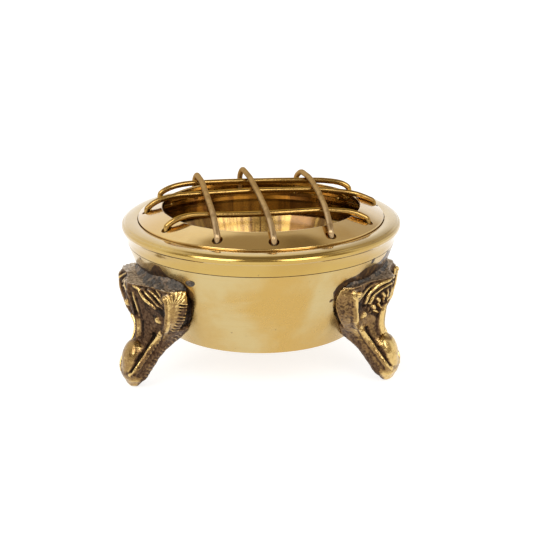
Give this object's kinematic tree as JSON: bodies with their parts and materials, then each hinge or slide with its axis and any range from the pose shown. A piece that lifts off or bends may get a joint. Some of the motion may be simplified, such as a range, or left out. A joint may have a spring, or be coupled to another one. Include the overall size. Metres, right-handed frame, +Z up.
{
  "type": "incense burner",
  "caption": "Polished brass incense bowl on cast elephant-head feet, with a loose lid ring that holds a grid of arched wires over the opening.",
  "frame": {"origin": "on the bowl's axis, in the plane of the three soles", "axes": "+Z up along the bowl's axis, -Y to the front, midway between the two front feet, +X to the right"},
  "size_m": [0.0808, 0.0843, 0.0518],
  "materials": {
    "polished_brass": "polished, with faint turning marks and flux stains near the feet",
    "lid_brass": "polished, a little darker and scratched",
    "golden_wire": "drawn wire, golden brown",
    "pale_wire": "drawn wire, pale and dull",
    "antique_brass": "rough casting with a dark patina, rubbed bright on the ridges",
    "solder": "dark grey, dull and lumpy"
  },
  "bodies": {
    "burner": {"bowl": "polished_brass", "rim_collar": "polished_brass", "foot_front_left": "antique_brass", "foot_front_right": "antique_brass", "foot_back": "antique_brass", "solder_front_left": "solder", "solder_front_right": "solder", "solder_back": "solder"},
    "lid": {"lid_ring": "lid_brass", "wire_front": "golden_wire", "wire_middle": "golden_wire", "wire_back": "golden_wire", "wire_left": "pale_wire", "wire_centre": "pale_wire", "wire_right": "pale_wire"}
  },
  "joints": [
    {"name": "lid_lift", "type": "slide", "parent": "burner", "child": "lid", "axis": [0, 0, 1], "range_m": [0, 0.06]}
  ]
}
